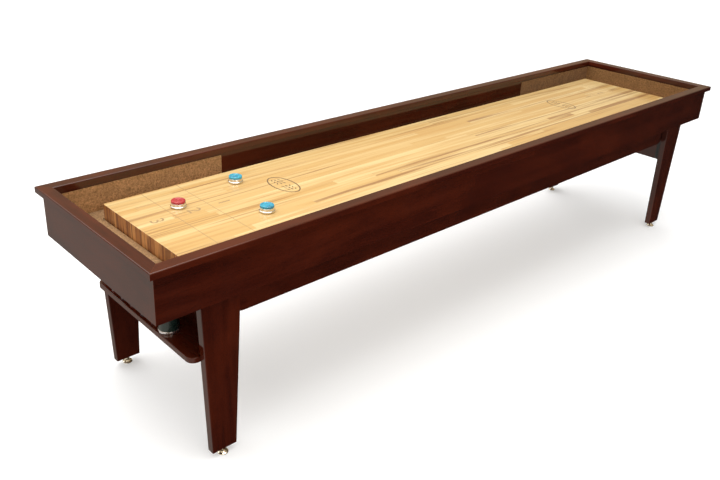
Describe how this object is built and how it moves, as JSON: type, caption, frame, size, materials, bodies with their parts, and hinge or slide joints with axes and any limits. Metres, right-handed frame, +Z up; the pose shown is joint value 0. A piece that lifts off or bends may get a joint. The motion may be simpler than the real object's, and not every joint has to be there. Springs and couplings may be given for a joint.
{
  "type": "shuffleboard table",
  "caption": "Full-length shuffleboard table: maple playfield in a carpeted trough cabinet of dark cherry wood on tapered legs, with puck shelf, pucks and levelling feet.",
  "frame": {"origin": "on the floor, under the centre of the table", "axes": "+X along the table from the puck-shelf end to the far end, +Y to the left seen from the puck-shelf end, +Z up"},
  "size_m": [3.31, 0.745, 0.762],
  "materials": {
    "cherry_wood": "dark cherry stain under gloss lacquer",
    "maple": "clear gloss polymer coat",
    "plywood": "unfinished",
    "carpet": "short tan pile",
    "zinc_steel": "zinc plated",
    "black_steel": "black enamel",
    "printed_tin": "glossy dark lacquer over tinplate",
    "white_plastic": "satin",
    "nickel": "bright nickel plate",
    "puck_steel": "polished chrome",
    "red_plastic": "gloss, slightly translucent",
    "blue_plastic": "gloss, slightly translucent"
  },
  "bodies": {
    "table": {"cap_rail_left": "cherry_wood", "cap_rail_right": "cherry_wood", "cap_rail_near": "cherry_wood", "cap_rail_far": "cherry_wood", "side_panel_left": "cherry_wood", "side_panel_right": "cherry_wood", "end_panel_near": "cherry_wood", "end_panel_far": "cherry_wood", "apron_left": "cherry_wood", "apron_right": "cherry_wood", "cross_panel_near": "cherry_wood", "cross_panel_far": "cherry_wood", "puck_shelf": "cherry_wood", "leg_near_left": "cherry_wood", "leg_near_right": "cherry_wood", "leg_far_left": "cherry_wood", "leg_far_right": "cherry_wood", "playfield": "maple", "gutter_boards_long": "plywood", "gutter_boards_short": "plywood", "cross_members": "plywood", "gutter_carpet": "carpet", "wall_carpet_near": "carpet", "wall_carpet_far": "carpet", "leg_bolts": "zinc_steel", "adjuster_brackets": "zinc_steel", "adjuster_rods": "zinc_steel", "adjuster_nuts": "zinc_steel", "leveler_inserts": "zinc_steel", "corner_brackets": "black_steel", "wood_screws": "black_steel"},
    "foot_near_left": {"leveler_foot_near_left": "nickel"},
    "stem_near_left": {"leveler_stem_near_left": "nickel"},
    "foot_near_right": {"leveler_foot_near_right": "nickel"},
    "stem_near_right": {"leveler_stem_near_right": "nickel"},
    "foot_far_left": {"leveler_foot_far_left": "nickel"},
    "stem_far_left": {"leveler_stem_far_left": "nickel"},
    "foot_far_right": {"leveler_foot_far_right": "nickel"},
    "stem_far_right": {"leveler_stem_far_right": "nickel"},
    "turnbuckle_near": {"turnbuckle_near": "zinc_steel"},
    "turnbuckle_middle": {"turnbuckle_middle": "zinc_steel"},
    "turnbuckle_far": {"turnbuckle_far": "zinc_steel"},
    "puck_red_1": {"puck_body_red_1": "puck_steel", "puck_cap_red_1": "red_plastic"},
    "puck_blue_1": {"puck_body_blue_1": "puck_steel", "puck_cap_blue_1": "blue_plastic"},
    "puck_blue_2": {"puck_body_blue_2": "puck_steel", "puck_cap_blue_2": "blue_plastic"},
    "puck_red_2": {"puck_body_red_2": "puck_steel", "puck_cap_red_2": "red_plastic"},
    "puck_blue_3": {"puck_body_blue_3": "puck_steel", "puck_cap_blue_3": "blue_plastic"},
    "puck_red_3": {"puck_body_red_3": "puck_steel", "puck_cap_red_3": "red_plastic"},
    "puck_blue_4": {"puck_body_blue_4": "puck_steel", "puck_cap_blue_4": "blue_plastic"},
    "puck_red_4": {"puck_body_red_4": "puck_steel", "puck_cap_red_4": "red_plastic"},
    "wax_can": {"wax_can_body": "printed_tin"},
    "wax_lid": {"wax_can_lid": "white_plastic"}
  },
  "joints": [
    {"name": "level_near_left", "type": "slide", "parent": "table", "child": "foot_near_left", "axis": [0, 0, -1], "range_m": [-0.004, 0.015]},
    {"name": "turn_near_left", "type": "hinge", "parent": "foot_near_left", "child": "stem_near_left", "pos_m": [-1.4125, 0.31975, 0.03], "axis": [0, 0, -1], "range_deg": [-961, 3601]},
    {"name": "level_near_right", "type": "slide", "parent": "table", "child": "foot_near_right", "axis": [0, 0, -1], "range_m": [-0.004, 0.015]},
    {"name": "turn_near_right", "type": "hinge", "parent": "foot_near_right", "child": "stem_near_right", "pos_m": [-1.4125, -0.31975, 0.03], "axis": [0, 0, -1], "range_deg": [-961, 3601]},
    {"name": "level_far_left", "type": "slide", "parent": "table", "child": "foot_far_left", "axis": [0, 0, -1], "range_m": [-0.004, 0.015]},
    {"name": "turn_far_left", "type": "hinge", "parent": "foot_far_left", "child": "stem_far_left", "pos_m": [1.4125, 0.31975, 0.03], "axis": [0, 0, -1], "range_deg": [-961, 3601]},
    {"name": "level_far_right", "type": "slide", "parent": "table", "child": "foot_far_right", "axis": [0, 0, -1], "range_m": [-0.004, 0.015]},
    {"name": "turn_far_right", "type": "hinge", "parent": "foot_far_right", "child": "stem_far_right", "pos_m": [1.4125, -0.31975, 0.03], "axis": [0, 0, -1], "range_deg": [-961, 3601]},
    {"name": "adjust_near", "type": "hinge", "parent": "table", "child": "turnbuckle_near", "pos_m": [-0.92, 0, 0.6], "axis": [0, 1, 0], "continuous": true},
    {"name": "adjust_middle", "type": "hinge", "parent": "table", "child": "turnbuckle_middle", "pos_m": [0, 0, 0.6], "axis": [0, 1, 0], "continuous": true},
    {"name": "adjust_far", "type": "hinge", "parent": "table", "child": "turnbuckle_far", "pos_m": [0.92, 0, 0.6], "axis": [0, 1, 0], "continuous": true},
    {"name": "slide_red_1", "type": "slide", "parent": "table", "child": "puck_red_1", "axis": [1, 0, 0], "range_m": [-0.1575, 2.7415]},
    {"name": "slide_blue_1", "type": "slide", "parent": "table", "child": "puck_blue_1", "axis": [1, 0, 0], "range_m": [-0.4345, 2.4645]},
    {"name": "slide_blue_2", "type": "slide", "parent": "table", "child": "puck_blue_2", "axis": [1, 0, 0], "range_m": [-0.3705, 2.5285]},
    {"name": "take_red_2", "type": "slide", "parent": "table", "child": "puck_red_2", "axis": [-1, 0, 0], "range_m": [0, 0.06]},
    {"name": "take_blue_3", "type": "slide", "parent": "table", "child": "puck_blue_3", "axis": [-1, 0, 0], "range_m": [0, 0.06]},
    {"name": "take_red_3", "type": "slide", "parent": "table", "child": "puck_red_3", "axis": [-1, 0, 0], "range_m": [0, 0.06]},
    {"name": "take_blue_4", "type": "slide", "parent": "table", "child": "puck_blue_4", "axis": [-1, 0, 0], "range_m": [0, 0.06]},
    {"name": "take_red_4", "type": "slide", "parent": "table", "child": "puck_red_4", "axis": [-1, 0, 0], "range_m": [0, 0.06]},
    {"name": "take_wax_can", "type": "slide", "parent": "table", "child": "wax_can", "axis": [-1, 0, 0], "range_m": [0, 0.06]},
    {"name": "lift_wax_lid", "type": "slide", "parent": "wax_can", "child": "wax_lid", "axis": [0, 0, 1], "range_m": [0, 0.02]}
  ],
  "couplings": [
    {"joint": "turn_near_left", "follows": "level_near_left", "rad_per_m": 4188.8},
    {"joint": "turn_near_right", "follows": "level_near_right", "rad_per_m": 4188.8},
    {"joint": "turn_far_left", "follows": "level_far_left", "rad_per_m": 4188.8},
    {"joint": "turn_far_right", "follows": "level_far_right", "rad_per_m": 4188.8}
  ]
}
